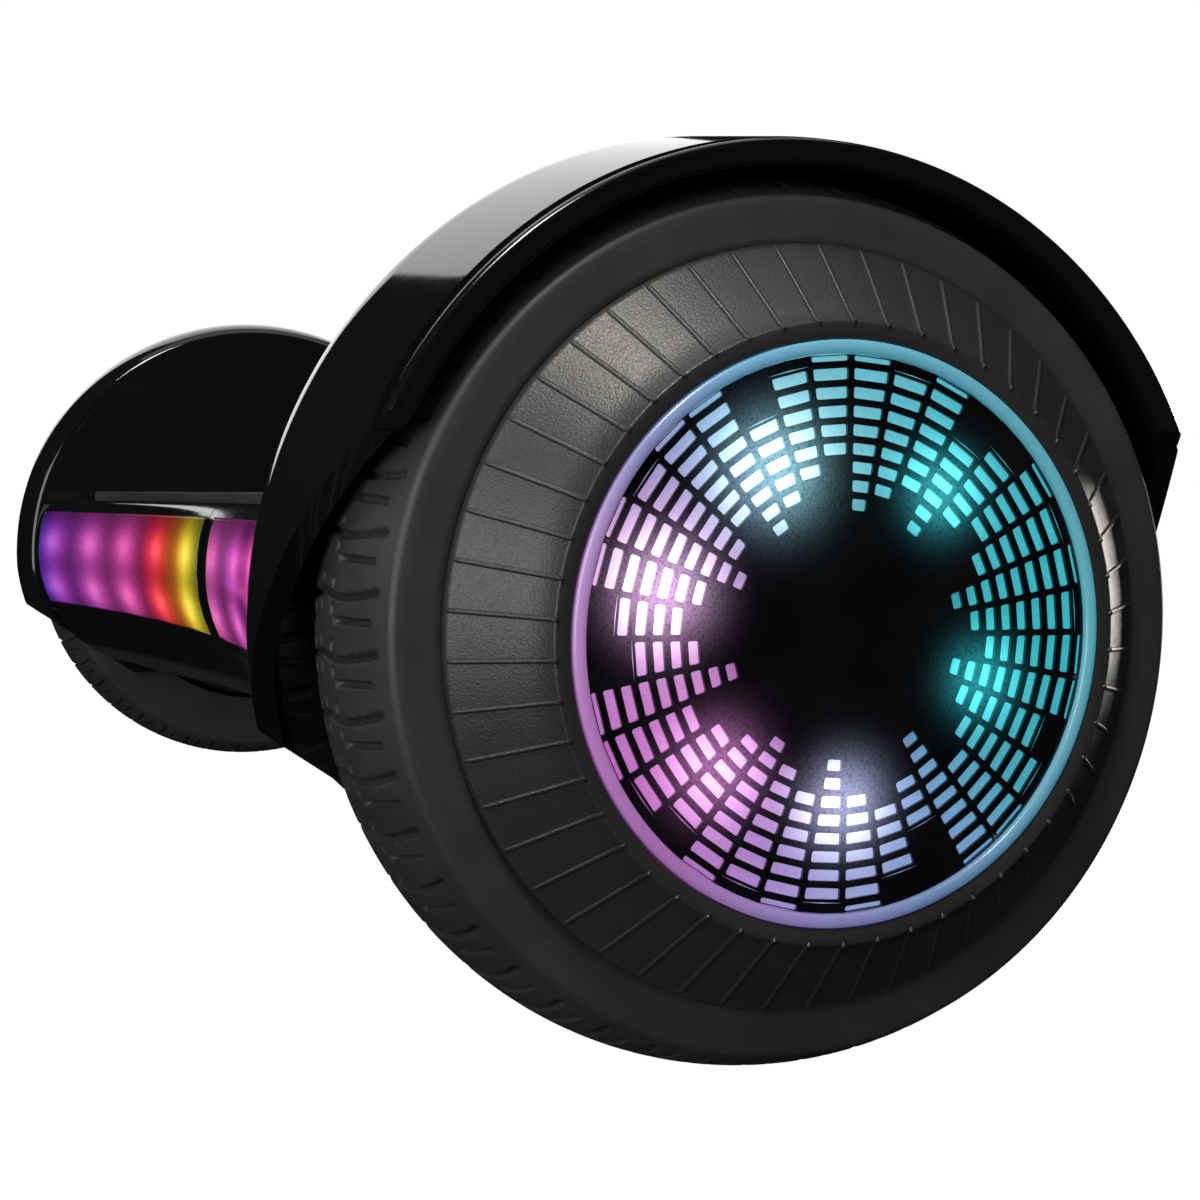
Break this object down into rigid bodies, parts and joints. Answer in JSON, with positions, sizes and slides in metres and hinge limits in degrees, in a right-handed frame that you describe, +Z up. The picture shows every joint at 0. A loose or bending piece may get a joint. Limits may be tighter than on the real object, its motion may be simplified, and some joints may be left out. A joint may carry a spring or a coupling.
{
  "type": "self balancing hoverboard",
  "caption": "Two-wheeled self balancing board with twisting foot decks, glossy wheel arches, a lit front band and lit equaliser hub caps.",
  "frame": {"origin": "on the floor under the middle of the board", "axes": "+X along the board towards the right wheel, -Y towards the front light band, +Z up"},
  "size_m": [0.601, 0.1998, 0.1893],
  "materials": {
    "gloss_shell": "polished piano black",
    "rim_trim": "polished, a little softer",
    "light_lens": "smoked translucent lens over LEDs",
    "led_strip": "white solder mask with LEDs",
    "cast_alloy": "as cast, satin",
    "circuit_board": "solder mask",
    "status_lens": "frosted clear",
    "steel": "ground",
    "core_steel": "stacked laminations",
    "copper": "enamelled copper",
    "black_screw": "black oxide",
    "dark_alloy": "dark coated",
    "magnet": "nickel plated",
    "tyre": "moulded solid rubber",
    "hub_cap": "satin dark grey with fine grain",
    "hub_lens": "translucent, lit by LEDs",
    "hub_mask": "black with clear windows",
    "foot_pad": "textured grip rubber",
    "bronze": "sintered bronze",
    "battery_wrap": "shrink sleeve over cells",
    "speaker": "moulded basket",
    "panel": "satin",
    "button": "spun finish",
    "socket": "nickel plated",
    "cap_rubber": "matt"
  },
  "bodies": {
    "right_half": {"right_top_shell": "gloss_shell", "right_bottom_shell": "gloss_shell", "right_fender": "gloss_shell", "right_fender_trim": "rim_trim", "right_light_lens": "light_lens", "right_light_bar": "led_strip", "right_chassis": "cast_alloy", "right_sensor_board": "circuit_board", "right_status_lens": "status_lens", "right_axle": "steel", "right_axle_clamp": "cast_alloy", "right_stator": "core_steel", "right_windings": "copper", "right_screws": "black_screw", "pivot_shaft": "steel", "pivot_ring": "black_screw", "battery_pack": "battery_wrap", "battery_bracket": "cast_alloy", "control_panel": "panel", "charge_port": "socket"},
    "left_half": {"left_top_shell": "gloss_shell", "left_bottom_shell": "gloss_shell", "left_fender": "gloss_shell", "left_fender_trim": "rim_trim", "left_light_lens": "light_lens", "left_light_bar": "led_strip", "left_chassis": "cast_alloy", "left_sensor_board": "circuit_board", "left_status_lens": "status_lens", "left_axle": "steel", "left_axle_clamp": "cast_alloy", "left_stator": "core_steel", "left_windings": "copper", "left_screws": "black_screw", "pivot_bushes": "bronze", "main_board": "circuit_board", "heat_sink": "cast_alloy", "speaker": "speaker"},
    "right_wheel": {"right_motor_shell": "dark_alloy", "right_magnet_ring": "magnet", "right_motor_cover": "cast_alloy", "right_wheel_bearings": "steel", "right_tyre": "tyre", "right_hub_cap": "hub_cap", "right_hub_lens": "hub_lens", "right_hub_mask": "hub_mask", "right_hub_led_board": "led_strip"},
    "left_wheel": {"left_motor_shell": "dark_alloy", "left_magnet_ring": "magnet", "left_motor_cover": "cast_alloy", "left_wheel_bearings": "steel", "left_tyre": "tyre", "left_hub_cap": "hub_cap", "left_hub_lens": "hub_lens", "left_hub_mask": "hub_mask", "left_hub_led_board": "led_strip"},
    "right_pad": {"right_foot_pad": "foot_pad"},
    "left_pad": {"left_foot_pad": "foot_pad"},
    "power_button": {"power_button": "button"},
    "charge_cap": {"charge_cap": "cap_rubber"}
  },
  "joints": [
    {"name": "body_twist", "type": "hinge", "parent": "right_half", "child": "left_half", "pos_m": [0, 0, 0.0894], "axis": [1, 0, 0], "range_deg": [-12, 12]},
    {"name": "right_wheel_spin", "type": "hinge", "parent": "right_half", "child": "right_wheel", "pos_m": [0.259, 0, 0.0894], "axis": [1, 0, 0], "continuous": true},
    {"name": "left_wheel_spin", "type": "hinge", "parent": "left_half", "child": "left_wheel", "pos_m": [-0.259, 0, 0.0894], "axis": [1, 0, 0], "continuous": true},
    {"name": "right_pad_press", "type": "slide", "parent": "right_half", "child": "right_pad", "axis": [0, 0, -1], "range_m": [0, 0.0015], "stiffness_N_per_m": 6000, "springref_m": -0.0005},
    {"name": "left_pad_press", "type": "slide", "parent": "left_half", "child": "left_pad", "axis": [0, 0, -1], "range_m": [0, 0.0015], "stiffness_N_per_m": 6000, "springref_m": -0.0005},
    {"name": "power_button_press", "type": "slide", "parent": "right_half", "child": "power_button", "axis": [0.108, -0.9942, 0], "range_m": [0, 0.001], "stiffness_N_per_m": 600, "springref_m": -0.0005},
    {"name": "charge_cap_open", "type": "hinge", "parent": "right_half", "child": "charge_cap", "pos_m": [0.08179, 0.07235, 0.0762], "axis": [-0.9942, -0.108, 0], "range_deg": [0, 120]}
  ]
}
